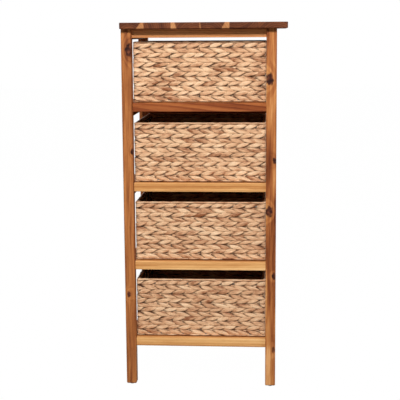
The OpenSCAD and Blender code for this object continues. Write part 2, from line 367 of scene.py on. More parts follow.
strawStops = [(0.0, "#955c30"), (0.3, "#bd824a"), (0.6, "#dba669"), (1.0, "#eec48b")]
honeyStops = [(0.0, "#955028"), (0.3, "#bd7340"), (0.6, "#da925a"), (1.0, "#eaac76")]
chestnutStops = [(0.0, "#6d3a1f"), (0.3, "#96592f"), (0.6, "#b57440"), (1.0, "#c98d57")]
amberStops = [(0.0, "#5c2a13"), (0.3, "#8c4e28"), (0.55, "#a96838"), (0.75, "#bd7e47"), (1.0, "#d9a069")]
russetStops = [(0.0, "#602a13"), (0.3, "#854421"), (0.6, "#a45f32"), (1.0, "#b87a48")]

# what a timber piece has where its own look says nothing else
plainLook = {"away": (0.0, 0.0, 0.0), "line": -0.3, "streak": 0.0, "tint": 0.0}

# looks of the timber pieces: the axis that the grain runs along, the pith across the piece from its middle,
# how far it leans along the piece, ring width, and the tones; drift is a change of tone along the piece
timberLooks = {
    "leg_front_left": {
        "length": "z", "pith": (-38, 60), "lean": (0.012, 0.02), "ring": 7.0, "stops": chestnutStops,
        "line": -0.18, "streak": 1.3, "tint": -0.29,
        "drift": [(0.0, "#8e8e8e"), (0.4, "#7a7a7a"), (1.0, "#6e6e6e")],
    },
    "leg_front_right": {
        "length": "z", "pith": (30, 48), "lean": (0.02, -0.03), "ring": 7.4, "stops": amberStops,
        "line": -0.1, "streak": 1.8, "tint": -0.07,
        "drift": [(0.0, "#d2d2d2"), (0.085, "#c8c8c8"), (0.12, "#767676"), (0.22, "#6e6e6e"),
                  (0.6, "#787878"), (0.75, "#848484"), (1.0, "#8a8a8a")],
    },
    "leg_back_left": {
        "length": "z", "pith": (34, -52), "lean": (-0.01, 0.01), "ring": 5.0, "stops": russetStops,
    },
    "leg_back_right": {
        "length": "z", "pith": (-44, -38), "lean": (0.02, 0.0), "ring": 5.6, "stops": chestnutStops,
    },
    "top_front_rail": {
        "length": "x", "pith": (46, 24), "lean": (0.01, 0.0), "ring": 4.4, "stops": honeyStops,
    },
    "front_rail_1": {
        "length": "x", "pith": (22, 34), "lean": (0.05, 0.03), "ring": 5.6, "stops": russetStops,
        "tint": -0.08,
    },
    "front_rail_2": {
        "length": "x", "pith": (-60, 30), "lean": (0.01, 0.01), "ring": 4.6, "stops": strawStops,
        "line": -0.17, "tint": -0.1,
    },
    "front_rail_3": {
        "length": "x", "pith": (52, 44), "lean": (-0.015, 0.0), "ring": 5.0, "stops": strawStops,
        "line": -0.17, "tint": 0.12,
    },
    "front_rail_4": {
        "length": "x", "pith": (-48, 36), "lean": (0.02, 0.01), "ring": 4.8, "stops": strawStops,
        "line": -0.17, "tint": -0.06,
    },
}


# one piece of solid timber
def solidTimber(name, ownLook):
    look = {**plainLook, **ownLook}
    low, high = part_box(name)
    made, add = newMaterial("oiledAcacia_" + name)
    place = add("TexCoord").outputs["Object"]
    centred = add("VectorMath", {0: place, 1: (low + high) / 2}, "SUBTRACT")
    turned = add("Mapping", {"Vector": centred, "Rotation": lengthTurns[look["length"]]})
    parts = add("SeparateXYZ", {0: turned}).outputs
    # the pith leans along the piece, which draws the rings out to long arches
    across = []
    for axis in (0, 1):
        run = add("Math", {0: parts[2], 1: -look["lean"][axis], 2: -look["pith"][axis] * mm}, "MULTIPLY_ADD")
        across.append(add("Math", {0: parts[axis], 1: run}, "ADD"))
    spot = add("CombineXYZ", {0: across[0], 1: across[1], 2: parts[2]})
    push, layers = 0.0, []
    if name in knots:
        push, layers = addKnots(add, place, knots[name], low.y)
    figure = add("Group", {
        "Spot": spot, "Away": look["away"], "Ring Width": look["ring"] * mm, "Waver": timber["waver"] * mm,
        "Push": push, "Line Tone": look["line"], "Streak Tone": look["streak"],
    }, node_tree=figureTree)
    tone = add("Math", {0: figure.outputs["Tone"], 1: look["tint"]}, "ADD")
    if "drift" in look:
        # middle grey leaves the tone as it is
        half = max(high - low) / 2
        share = add("MapRange", {"Value": parts[2], 1: -half, 2: half})
        slow = fillRamp(add("ValToRGB", {0: share}), look["drift"])
        tone = add("Math", {0: tone, 1: slow}, "ADD")
        tone = add("Math", {0: tone, 1: linear("#808080")[0]}, "SUBTRACT")
    finishTimber(add, tone, figure.outputs["Pores"], look["stops"], layers)
    dress(name, made)


for name, look in timberLooks.items():
    solidTimber(name, look)

# pieces behind and at the sides: pith, ring and place in the figure move on from each to the next
hiddenLook = {
    "pith": (34, 30),
    "pithStep": (7, 9),
    "lean": (0.012, 0.02),
    "ring": 4.4,
    "ringStep": 0.4,
    "awayStep": (0.31, 0.17),
}
hiddenPieces = ["top_side_rail_left", "top_side_rail_right"]
for part in ("side_rail_left", "side_rail_right", "back_rail", "shelf"):
    hiddenPieces += [f"{part}_{k}" for k in shelves]
(pithX, pithZ), (stepX, stepZ) = hiddenLook["pith"], hiddenLook["pithStep"]
(leanX, leanZ), (awayX, awayZ) = hiddenLook["lean"], hiddenLook["awayStep"]
for count, name in enumerate(hiddenPieces):
    side = -1 if count % 2 else 1
    solidTimber(name, {
        "length": "y" if "side_rail" in name else "x",
        "pith": (side * (pithX + stepX * (count % 4)), pithZ + stepZ * (count % 5)),
        "lean": (leanX * side, leanZ),
        "ring": hiddenLook["ring"] + hiddenLook["ringStep"] * (count % 4),
        "away": (awayX * count, awayZ * count, 0.0),
        "stops": russetStops if "back_rail" in name else chestnutStops,
    })
print("timber dressed")

# top board: six staves run from front to back, dark heartwood with pale sapwood beside it; in millimetres
topBoard = {
    "heartStops": [(0.0, "#28100a"), (0.3, "#462213"), (0.6, "#60341d"), (1.0, "#80492b")],
    "sapStops": [(0.0, "#7d4a2a"), (0.35, "#a26a40"), (1.0, "#bf8757")],
    "ring": 5.0,
    "waver": 8.0,
    "sapEdge": 1.5,  # half the width over which heartwood turns to sapwood
    "seamWidth": 0.9,
    "seamTone": -0.35,
    "apart": 7.0,  # lays the staves in parts of the figure that are far from each other
    # from and to along x, pith in x and z, tone shift, and sapwood: its side, its edge at top and at foot
    "staves": [
        (-200, -141, -176, 868, 0.0, [(1, -148, -160)]),
        (-141, -77, -170, 880, 0.1, []),
        (-77, -8.5, -20, 862, 0.08, [(-1, -67.8, -63)]),
        (-8.5, 62.6, 12, 866, 0.0, [(1, 52, 43.6), (-1, -7.2, -4.8)]),
        (62.6, 129, 80, 930, -0.05, []),
        (129, 200, 176, 858, 0.12, []),
    ],
}


def makeTopBoard():
    low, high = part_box("top_board")
    made, add = newMaterial("oiledAcaciaStaves")
    place = add("TexCoord").outputs["Object"]
    x, y, z = add("SeparateXYZ", {0: place}).outputs
    pithX, pithZ, shift, sap, joint = 0.0, 0.0, 0.0, 0.0, 1.0
    for index, (start, end, pithAtX, pithAtZ, tint, sapwood) in enumerate(topBoard["staves"]):
        past = add("Math", {0: x, 1: start * mm}, "GREATER_THAN")
        short = add("Math", {0: x, 1: end * mm}, "LESS_THAN")
        inside = add("Math", {0: past, 1: short}, "MULTIPLY")
        pithX = add("Math", {0: inside, 1: pithAtX * mm, 2: pithX}, "MULTIPLY_ADD")
        pithZ = add("Math", {0: inside, 1: pithAtZ * mm, 2: pithZ}, "MULTIPLY_ADD")
        shift = add("Math", {0: inside, 1: tint, 2: shift}, "MULTIPLY_ADD")
        for side, topX, footX in sapwood:
            edge = add("MapRange", {"Value": z, 1: low.z, 2: high.z, 3: footX * mm, 4: topX * mm},
                       clamp=False)
            beyond = add("Math", {0: x, 1: edge}, "SUBTRACT")
            blend = side * topBoard["sapEdge"] * mm
            soft = add("MapRange", {"Value": beyond, 1: -blend, 2: blend}, **eased)
            sap = add("Math", {0: inside, 1: soft, 2: sap}, "MULTIPLY_ADD")
        if index:
            gap = add("Math", {0: x, 1: start * mm}, "SUBTRACT")
            wide = add("Math", {0: gap}, "ABSOLUTE")
            seam = add("MapRange", {"Value": wide, 2: topBoard["seamWidth"] * mm})
            joint = add("Math", {0: joint, 1: seam}, "MINIMUM")
    across = add("Math", {0: x, 1: pithX}, "SUBTRACT")
    above = add("Math", {0: z, 1: pithZ}, "SUBTRACT")
    spot = add("CombineXYZ", {0: across, 1: above, 2: y})
    away = add("CombineXYZ", {0: pithX, 1: pithZ, 2: pithX})
    farAway = add("VectorMath", {0: away, "Scale": topBoard["apart"]}, "SCALE")
    figure = add("Group", {
        "Spot": spot, "Away": farAway, "Ring Width": topBoard["ring"] * mm, "Waver": topBoard["waver"] * mm,
        "Push": 0.0, "Line Tone": plainLook["line"], "Streak Tone": plainLook["streak"],
    }, node_tree=figureTree)
    tone = add("Math", {0: figure.outputs["Tone"], 1: shift}, "ADD")
    dark = add("MapRange", {"Value": joint, 3: topBoard["seamTone"], 4: 0.0})
    tone = add("Math", {0: tone, 1: dark}, "ADD")
    pale = fillRamp(add("ValToRGB", {0: tone}), topBoard["sapStops"])
    finishTimber(add, tone, figure.outputs["Pores"], topBoard["heartStops"], [(sap, pale)])
    dress("top_board", made)


makeTopBoard()
print("top board dressed")

# small parts, by a word in the names of their nodes; marks are a noise, and roughness follows it
fixings = {
    # steel wire with a dark brown lacquer: low gloss, thicker and darker in places where it ran
    "wires": {
        "material": "brownLacqueredWire",
        "stops": [(0.3, "#3a2718"), (0.7, "#5a402a")],
        "marks": 160.0,
        "detail": 2.0,
        "roughness": (0.32, 0.5),
    },
    # zinc-plated steel of the screws: dull bluish grey with fine rolling marks
    "screws": {
        "material": "zincPlatedSteel",
        "stops": [(0.3, "#a9acb0"), (0.7, "#d2d3d2")],
        "marks": 900.0,
        "detail": 3.0,
        "roughness": (0.45, 0.6),
        "metallic": 1.0,
    },
    # fluted beech of the dowels: pale, even, with short flecks along the length
    "dowels": {
        "material": "turnedBeech",
        "stops": [(0.3, "#c9a06f"), (0.7, "#e2c196")],
        "stretch": (300.0, 900.0, 900.0),
        "marks": 1.0,
        "detail": 2.0,
        "roughness": (0.65, 0.65),
    },
    # moulded polyethylene of the glides: waxy grey, scuffed underneath
    "glides": {
        "material": "mouldedGreyPolyethylene",
        "stops": [(0.35, "#7f8387"), (0.65, "#9a9da1")],
        "marks": 700.0,
        "detail": 4.0,
        "roughness": (0.4, 0.62),
        "dents": 0.3,
        "dentDepth": 0.2,  # millimetres
    },
}


def fixingFinish(look):
    made, add = newMaterial(look["material"])
    place = add("TexCoord").outputs["Object"]
    if "stretch" in look:
        place = add("Mapping", {"Vector": place, "Scale": look["stretch"]})
    marks = add("TexNoise", {"Vector": place, "Scale": look["marks"], "Detail": look["detail"]})
    colour = fillRamp(add("ValToRGB", {0: marks}), look["stops"])
    smooth, rough = look["roughness"]
    finish = {"Base Color": colour, "Roughness": smooth, "Metallic": look.get("metallic", 0.0)}
    if rough > smooth:
        finish["Roughness"] = add("MapRange",
                                  {"Value": marks, 1: noiseLow, 2: noiseHigh, 3: smooth, 4: rough})
    if "dents" in look:
        depth = look["dentDepth"] * mm
        finish["Normal"] = add("Bump", {"Height": marks, "Strength": look["dents"], "Distance": depth})
    add("OutputMaterial", {"Surface": add("BsdfPrincipled", finish)})
    return made


for part, look in fixings.items():
    finish = fixingFinish(look)
    for name in nodes:
        if part in name:
            dress(name, finish)
print("wires and fixings dressed")

strandShape = {
    "sides": 8,  # of its oval section
    "cornerSteps": 8,  # of the path, round each corner
    "rowShift": 0.37,  # each row starts this share of a step later than the one below it
    "toneStep": 1.7,  # between the numbers that give two strands their tones
}

# swept strands: an oval section, pressed into the box of the solids, with what the material reads named on it
skinInputs = {
    "Curves": "Geometry",
    "Facing": "Vector",
    "Fullness": "Float",
    "Length": "Float",
    "Strand": "Float",
    "Depth": "Float",
    "Half Width": "Float",
    "Half Thickness": "Float",
    "Place": "Vector",
    "Box Low": "Vector",
    "Box High": "Vector",
    "Material": "Material",
}


def makeSkinTree():
    tree, add, given = newGroup("strandSkin", "GeometryNodeTree", skinInputs, {"Geometry": "Geometry"})
    faced = add("SetCurveNormal", {"Curve": given["Curves"], "Normal": given["Facing"]}, mode="FREE")
    circle = add("CurvePrimitiveCircle", {"Resolution": strandShape["sides"], "Radius": 1.0}, mode="RADIUS")
    ovalSize = add("CombineXYZ", {0: given["Half Thickness"], 1: given["Half Width"], 2: 1.0})
    oval = add("Transform", {"Geometry": circle, "Scale": ovalSize})
    section = add("CaptureAttribute", {"Geometry": oval}, domain="POINT")
    section.capture_items.new("FLOAT", "around")
    feed(tree, section.inputs["around"], add("SplineParameter").outputs["Factor"])
    profile = section.outputs["Geometry"]
    solid = add("CurveToMesh",
                {"Curve": faced, "Profile Curve": profile, "Scale": given["Fullness"], "Fill Caps": True})
    placed = add("SetPosition", {"Geometry": solid, "Offset": given["Place"]})
    at = add("InputPosition")
    aboveLow = add("VectorMath", {0: at, 1: given["Box Low"]}, "MAXIMUM")
    rested = add("VectorMath", {0: aboveLow, 1: given["Box High"]}, "MINIMUM")
    shaped = add("SetPosition", {"Geometry": placed, "Position": rested})
    strandPlace = add("CombineXYZ", {0: given["Length"], 1: section.outputs["around"], 2: given["Strand"]})
    # strandDepth carries the painted shade that the material lays deep in the weave
    for name, form, value in (
        ("strandPlace", "FLOAT_VECTOR", strandPlace),
        ("strandDepth", "FLOAT", given["Depth"]),
    ):
        shaped = add("StoreNamedAttribute", {"Geometry": shaped, "Name": name, "Value": value},
                     data_type=form, domain="POINT")
    smooth = add("SetShadeSmooth", {"Geometry": shaped})
    plain = add("RealizeInstances", {"Geometry": smooth})
    dressed = add("SetMaterial", {"Geometry": plain, "Material": given["Material"]})
    add("GroupOutput", {"Geometry": dressed})
    return tree


skinTree = makeSkinTree()

# inputs that plaits and cords share
wovenInputs = {
    "Path Width": "Float",
    "Path Depth": "Float",
    "Corner Radius": "Float",
    "Rows": "Int",
    "Row Step": "Vector",
    "Points": "Int",
    "Half Width": "Float",
    "Half Thickness": "Float",
    "Place": "Vector",
    "Box Low": "Vector",
    "Box High": "Vector",
    "Seed": "Int",
    "Material": "Material",
}


# a ring with rounded corners, as the path of the strands
def addRing(add, given):
    ring = add("CurvePrimitiveQuadrilateral", {"Width": given["Path Width"], "Height": given["Path Depth"]})
    steps, radius = strandShape["cornerSteps"], given["Corner Radius"]
    return add("FilletCurve", {"Curve": ring, "Count": steps, "Radius": radius}, mode="POLY")


# holds the values on the points of the curves, moves the points, lays the skin round them and ends the tree;
# the values are named for the skin's inputs, and move is Position or Offset
def finishStrands(tree, add, given, curves, values, move, target):
    kept = add("CaptureAttribute", {"Geometry": curves}, domain="POINT")
    for name, value in {**values, move: target}.items():
        kept.capture_items.new("VECTOR" if name in ("Facing", move) else "FLOAT", name)
        feed(tree, kept.inputs[name], value)
    moved = add("SetPosition", {"Geometry": kept.outputs["Geometry"], move: kept.outputs[move]})
    passed = ("Half Width", "Half Thickness", "Place", "Box Low", "Box High", "Material")
    skin = add("Group", {
        "Curves": moved, "Fullness": 1.0, **{name: kept.outputs[name] for name in values},
        **{name: given[name] for name in passed},
    }, node_tree=skinTree)
    add("GroupOutput", {"Geometry": skin})
    return tree


# the part of a strand that shows in a plait, from where it comes out at the edge to its tip in the middle
leaf = {
    "middle": [(0.0, 0.86), (0.15, 0.77), (0.3, 0.65), (0.5, 0.47), (0.7, 0.34), (0.87, 0.18), (1.0, 0.04)],
    "width": [(0.0, 0.3), (0.15, 0.56), (0.3, 0.8), (0.5, 1.0), (0.7, 0.84), (0.87, 0.48), (1.0, 0.1)],
    "depth": [(0.0, 0.0), (0.12, 0.12), (0.3, 0.5), (0.5, 0.9), (0.68, 1.0), (0.87, 0.86), (1.0, 0.66)],
    "slip": 0.6,  # how far its place varies, against its size
    "foldShort": 0.2,  # leaves folded over the rim or the foot: shorter by this share
    "foldLevel": 0.6,  # and lying this much flatter
    "waver": 34.0,  # bends and swellings to the metre
    "waverApart": 5.0,  # metres in the noise between leaves, so that each wavers on its own
    "swelling": (0.9, 1.08),
    "cornerPart": (0.94, 0.985),  # of the way to a corner, from no lift to all of it
}

# three-strand plaits, side by side, each one a row of leaves above its middle line and a row below
plaitInputs = {
    **wovenInputs,
    "Flat": "Bool",
    "Rim": "Bool",
    "Half Row": "Float",
    "Leaves": "Int",
    "Spread": "Float",
    "Leaf Length": "Float",
    "Lift": "Float",
    "Over Edge": "Float",
    "Corner Lift": "Float",
    "Uneven": "Float",
    "Wobble": "Float",
}


def makePlaitTree():
    tree, add, given = newGroup("plaitedHyacinth", "GeometryNodeTree", plaitInputs, {"Geometry": "Geometry"})

    # path: a ring with rounded corners, or a straight line from side to side
    halfWidth = add("Math", {0: given["Path Width"], 1: 0.5}, "MULTIPLY")
    lessHalf = add("Math", {0: halfWidth, 1: -1.0}, "MULTIPLY")
    lineStart = add("CombineXYZ", {0: lessHalf})
    lineEnd = add("CombineXYZ", {0: halfWidth})
    line = add("CurvePrimitiveLine", {"Start": lineStart, "End": lineEnd})
    path = add("Switch", {"Switch": given["Flat"], "False": addRing(add, given), "True": line},
               input_type="GEOMETRY")
    pathLength = add("CurveLength", {"Curve": path})

    # one short curve for each leaf of each half row
    single = add("CurvePrimitiveLine", {"Start": (0, 0, 0), "End": (1, 0, 0)})
    even = add("ResampleCurve", {"Curve": single, "Count": given["Points"]}, mode="COUNT")
    halves = add("Math", {0: given["Rows"], 1: 2.0}, "MULTIPLY")
    total = add("Math", {0: halves, 1: given["Leaves"]}, "MULTIPLY")
    copies = add("DuplicateElements", {"Geometry": even, "Amount": total}, domain="SPLINE")
    number = copies.outputs["Duplicate Index"]
    halfShare = add("Math", {0: number, 1: given["Leaves"]}, "DIVIDE")
    halfRow = add("Math", {0: halfShare}, "FLOOR")
    leafShare = add("Math", {0: halfShare}, "FRACT")
    rowShare = add("Math", {0: halfRow, 1: 0.5}, "MULTIPLY")
    row = add("Math", {0: rowShare}, "FLOOR")
    upper = add("Math", {0: rowShare}, "FRACT")  # 0.5 above the middle line
    side = add("Math", {0: upper, 1: 4.0, 2: -1.0}, "MULTIPLY_ADD")  # 1 above it, -1 below
    lastHalf = add("Math", {0: halves, 1: 1.5}, "SUBTRACT")
    lowest = add("Math", {0: halfRow, 1: 0.5}, "LESS_THAN")
    highest = add("Math", {0: halfRow, 1: lastHalf}, "GREATER_THAN")
    ends = add("Math", {0: lowest, 1: highest}, "ADD")
    standing = add("Math", {0: 1.0, 1: given["Flat"]}, "SUBTRACT")
    folded = add("Math", {0: ends, 1: standing}, "MULTIPLY")

    # hand-made: every leaf has its own length, width and place
    chance = add("RandomValue", {0: (-1, -1, -1), 1: (1, 1, 1), "ID": number, "Seed": given["Seed"]},
                 data_type="FLOAT_VECTOR")
    chances = add("SeparateXYZ", {0: chance}).outputs
    grow = add("Math", {0: chances[0], 1: given["Uneven"], 2: 1.0}, "MULTIPLY_ADD")
    swell = add("Math", {0: chances[1], 1: given["Uneven"], 2: 1.0}, "MULTIPLY_ADD")
    slipMost = add("Math", {0: given["Uneven"], 1: leaf["slip"]}, "MULTIPLY")
    slip = add("Math", {0: chances[2], 1: slipMost}, "MULTIPLY")

    # where each point of a leaf is along the path; the leaves above the line come half a step later
    along = add("SplineParameter").outputs["Factor"]
    startsOver = add("Math", {0: pathLength, 1: given["Spread"]}, "MULTIPLY")
    rowPhase = add("Math", {0: row, 1: strandShape["rowShift"]}, "MULTIPLY")
    rowStart = add("Math", {0: rowPhase}, "FRACT")
    phase = add("Math", {0: upper, 1: rowStart}, "ADD")
    phaseNow = add("Math", {0: phase, 1: slip}, "ADD")
    phaseShare = add("Math", {0: phaseNow, 1: given["Leaves"]}, "DIVIDE")
    startShare = add("Math", {0: leafShare, 1: phaseShare}, "ADD")
    lead = add("Math", {0: given["Leaf Length"], 1: given["Flat"]}, "MULTIPLY")
    fromLead = add("Math", {0: startShare, 1: startsOver}, "MULTIPLY")
    start = add("Math", {0: fromLead, 1: lead}, "SUBTRACT")
    leafRun = add("Math", {0: given["Leaf Length"], 1: grow}, "MULTIPLY")
    run = add("Math", {0: along, 1: leafRun}, "MULTIPLY")
    there = add("Math", {0: start, 1: run}, "ADD")
    share = add("Math", {0: there, 1: pathLength}, "DIVIDE")
    wrapped = add("Math", {0: share}, "FRACT")
    held = add("Clamp", {"Value": share})
    pathShare = add("Switch", {"Switch": given["Flat"], "False": wrapped, "True": held}, input_type="FLOAT")
    sample = add("SampleCurve", {"Curves": path, "Factor": pathShare}, mode="FACTOR")
    tangent, pathSpot = sample.outputs["Tangent"], sample.outputs["Position"]

    # outline and depth of the leaf
    drawn = {}
    for name in ("middle", "width", "depth"):
        drawn[name] = add("FloatCurve", {"Value": along})
        points = drawn[name].mapping.curves[0].points
        for place, height in leaf[name][1:-1]:
            points.new(place, height)
        points[0].location = leaf[name][0]
        points[len(points) - 1].location = leaf[name][-1]
        drawn[name].mapping.update()
    # the depth lifts the leaf and, through strandDepth, paints shade on its tucked base in the material
    deep = add("Math", {0: drawn["depth"], 1: 2.0, 2: -1.0}, "MULTIPLY_ADD")
    reach = add("Math", {0: drawn["middle"], 1: given["Half Row"]}, "MULTIPLY")
    # folded leaves lie over the rim or under the foot: they start at the outer face and are shorter across
    shorter = add("Math", {0: folded, 1: -leaf["foldShort"], 2: 1.0}, "MULTIPLY_ADD")
    outer = add("Math", {0: folded, 1: given["Over Edge"]}, "MULTIPLY")
    reachNow = add("Math", {0: reach, 1: shorter}, "MULTIPLY")
    reachLast = add("Math", {0: reachNow, 1: outer}, "SUBTRACT")
    level = add("Math", {0: folded, 1: -leaf["foldLevel"], 2: 1.0}, "MULTIPLY_ADD")
    raised = add("Math", {0: folded, 1: leaf["foldLevel"]}, "MULTIPLY")
    deepNow = add("Math", {0: deep, 1: level, 2: raised}, "MULTIPLY_ADD")
    lift = add("Math", {0: deepNow, 1: given["Lift"]}, "MULTIPLY")

    # directions: across goes from the middle line to the leaf's edge, out is the way that it faces
    wallOut = add("VectorMath", {0: tangent, 1: (0, 0, 1)}, "CROSS_PRODUCT")
    inwards = add("VectorMath", {0: wallOut, "Scale": -1.0}, "SCALE")
    upright = add("CombineXYZ", {2: side})
    flatAcross = add("VectorMath", {0: upright, 1: tangent}, "CROSS_PRODUCT")
    across, out = [
        add("Switch", {
            "Switch": folded, "True": foldedWay,
            "False": add("Switch", {"Switch": given["Flat"], "False": wallWay, "True": flatWay},
                         input_type="VECTOR"),
        }, input_type="VECTOR")
        for wallWay, flatWay, foldedWay in ((upright, flatAcross, inwards), (wallOut, (0, 0, 1), upright))
    ]
    rough = add("VectorMath", {0: chance, "Scale": leaf["waverApart"]}, "SCALE")
    roughSpot = add("VectorMath", {0: pathSpot, 1: rough}, "ADD")
    waver = add("TexNoise", {"Vector": roughSpot, "Scale": leaf["waver"], "Detail": 1.0},
                noise_dimensions="3D")
    waverCentred = add("VectorMath", {0: waver.outputs["Color"], 1: (0.5, 0.5, 0.5)}, "SUBTRACT")
    # the left corners are pulled out, to close the room beside the leg
    farOut = add("VectorMath", {0: pathSpot}, "ABSOLUTE")
    farSum = add("VectorMath", {0: farOut, 1: (2, 2, 0)}, "DOT_PRODUCT")
    pathSum = add("Math", {0: given["Path Width"], 1: given["Path Depth"]}, "ADD")
    cornerShare = add("Math", {0: farSum.outputs["Value"], 1: pathSum}, "DIVIDE")
    pathX = add("SeparateXYZ", {0: pathSpot})
    onLeft = add("Math", {0: pathX, 1: 0.0}, "LESS_THAN")
    cornerMost = add("Math", {0: onLeft, 1: given["Corner Lift"]}, "MULTIPLY")
    noLift, allLift = leaf["cornerPart"]
    cornerLift = add("MapRange", {"Value": cornerShare, 1: noLift, 2: allLift, 3: 0.0, 4: cornerMost},
                     **eased)
    spot = pathSpot
    for direction, size in ((given["Row Step"], row), (across, reachLast), (out, lift), (wallOut, cornerLift),
                            (waverCentred, given["Wobble"])):
        move = add("VectorMath", {0: direction, "Scale": size}, "SCALE")
        spot = add("VectorMath", {0: spot, 1: move}, "ADD")

    thin, thick = leaf["swelling"]
    swelling = add("MapRange", {"Value": waver, 1: noiseLow, 2: noiseHigh, 3: thin, 4: thick})
    fullness = add("Math", {0: drawn["width"], 1: swell}, "MULTIPLY")
    fullnessNow = add("Math", {0: fullness, 1: swelling}, "MULTIPLY")
    strand = add("Math", {0: number, 1: strandShape["toneStep"], 2: given["Seed"]}, "MULTIPLY_ADD")

    # the rim's leaves are a piece of their own
    otherPart = add("BooleanMath", {0: highest, 1: given["Rim"]}, "XOR")
    notFlat = add("BooleanMath", {0: otherPart, 1: standing}, "AND")
    chosen = add("DeleteGeometry", {"Geometry": copies.outputs["Geometry"], "Selection": notFlat},
                 domain="CURVE")
    values = {"Length": run, "Strand": strand, "Depth": deep, "Fullness": fullnessNow, "Facing": out}
    return finishStrands(tree, add, given, chosen, values, "Position", spot)


# cords of two strands that turn round each other
cordInputs = {**wovenInputs, "Turns": "Float", "Twist": "Float", "Depth Shift": "Float"}


def makeCordTree():
    tree, add, given = newGroup("twistedCord", "GeometryNodeTree", cordInputs, {"Geometry": "Geometry"})
    even = add("ResampleCurve", {"Curve": addRing(add, given), "Count": given["Points"]}, mode="COUNT")
    total = add("Math", {0: given["Rows"], 1: 2.0}, "MULTIPLY")
    copies = add("DuplicateElements", {"Geometry": even, "Amount": total}, domain="SPLINE")
    number = copies.outputs["Duplicate Index"]
    rowShare = add("Math", {0: number, 1: 0.5}, "MULTIPLY")
    row = add("Math", {0: rowShare}, "FLOOR")
    spline = add("SplineParameter").outputs
    rowPhase = add("Math", {0: row, 1: strandShape["rowShift"], 2: rowShare}, "MULTIPLY_ADD")
    turned = add("Math", {0: spline["Factor"], 1: given["Turns"], 2: rowPhase}, "MULTIPLY_ADD")
    angle = add("Math", {0: turned, 1: 2 * math.pi}, "MULTIPLY")
    rise = add("Math", {0: angle}, "SINE")
    depth = add("Math", {0: angle}, "COSINE")
    along = add("InputTangent")
    out = add("VectorMath", {0: along, 1: (0, 0, 1)}, "CROSS_PRODUCT")
    upright = add("CombineXYZ", {2: rise})
    outMove = add("VectorMath", {0: out, "Scale": depth}, "SCALE")
    turn = add("VectorMath", {0: upright, 1: outMove}, "ADD")
    twist = add("VectorMath", {0: turn, "Scale": given["Twist"]}, "SCALE")
    rowMove = add("VectorMath", {0: given["Row Step"], "Scale": row}, "SCALE")
    offset = add("VectorMath", {0: twist, 1: rowMove}, "ADD")
    strand = add("Math", {0: number, 1: strandShape["toneStep"], 2: given["Seed"]}, "MULTIPLY_ADD")
    # the turn's depth, moved by Depth Shift, sets the painted shade in the material where a strand goes under
    shifted = add("Math", {0: depth, 1: given["Depth Shift"]}, "ADD")
    values = {"Length": spline["Length"], "Strand": strand, "Depth": shifted, "Facing": out}
    return finishStrands(tree, add, given, copies.outputs["Geometry"], values, "Offset", offset)


plaitTree = makePlaitTree()
cordTree = makeCordTree()


# runs a tree with these inputs and keeps the result as a plain mesh object
def wovenPiece(name, tree, sizes):
    carrier = newObject(name + "Carrier", bpy.data.meshes.new(name + "Carrier"))
    modifier = carrier.modifiers.new("weave", "NODES")
    modifier.node_group = tree
    for socket in tree.interface.items_tree:
        if socket.in_out == "INPUT":
            modifier[socket.identifier] = sizes[socket.name]
    bpy.context.view_layer.update()
    evaluated = carrier.evaluated_get(bpy.context.evaluated_depsgraph_get())
    mesh = bpy.data.meshes.new_from_object(evaluated)
    mesh.name = name
    bpy.data.objects.remove(carrier)
    return newObject(name, mesh)


# dried water hyacinth: flat soft stems, straw to tan, with fine fibres along them and a low soft sheen
hyacinth = {
    "stops": [(0.0, "#8a5433"), (0.2, "#b98560"), (0.42, "#d6a67e"), (0.7, "#e6bb92"), (1.0, "#f3cfa8")],
    # the colour of the painted shade deep in the plait and along the strands' edges
    "deep": "#421c0b",
    "patchLength": 30.0,  # millimetres along a strand
    "patchTones": (0.15, 0.95),
    "strandTones": (-0.3, 0.26),  # from strand to strand
    "fibresAround": 26.0,  # about 1 mm apart, coarser than the real 0.3 mm so that they show
    "fibresAlong": 60.0,  # to the metre
    "fibreTones": (-0.13, 0.13),
    "paintedShade": (-0.1, -1.0),  # painted shade: depths in the plait from none to all of the deep colour
    "inside": 0.15,  # the painted shade's share on the side that faces into the basket
    "turnsIn": (-0.4, 0.2),  # from that side to the outer one, on a strand's section
    "edgeStart": 0.88,  # of the way out to the strand's edge, where its dark rim of painted shade starts
    "edgeDeep": 0.7,
    "roughness": 0.58,
    "sheen": 0.2,
    "crease": 0.7,
    "creaseDepth": 0.5,
}


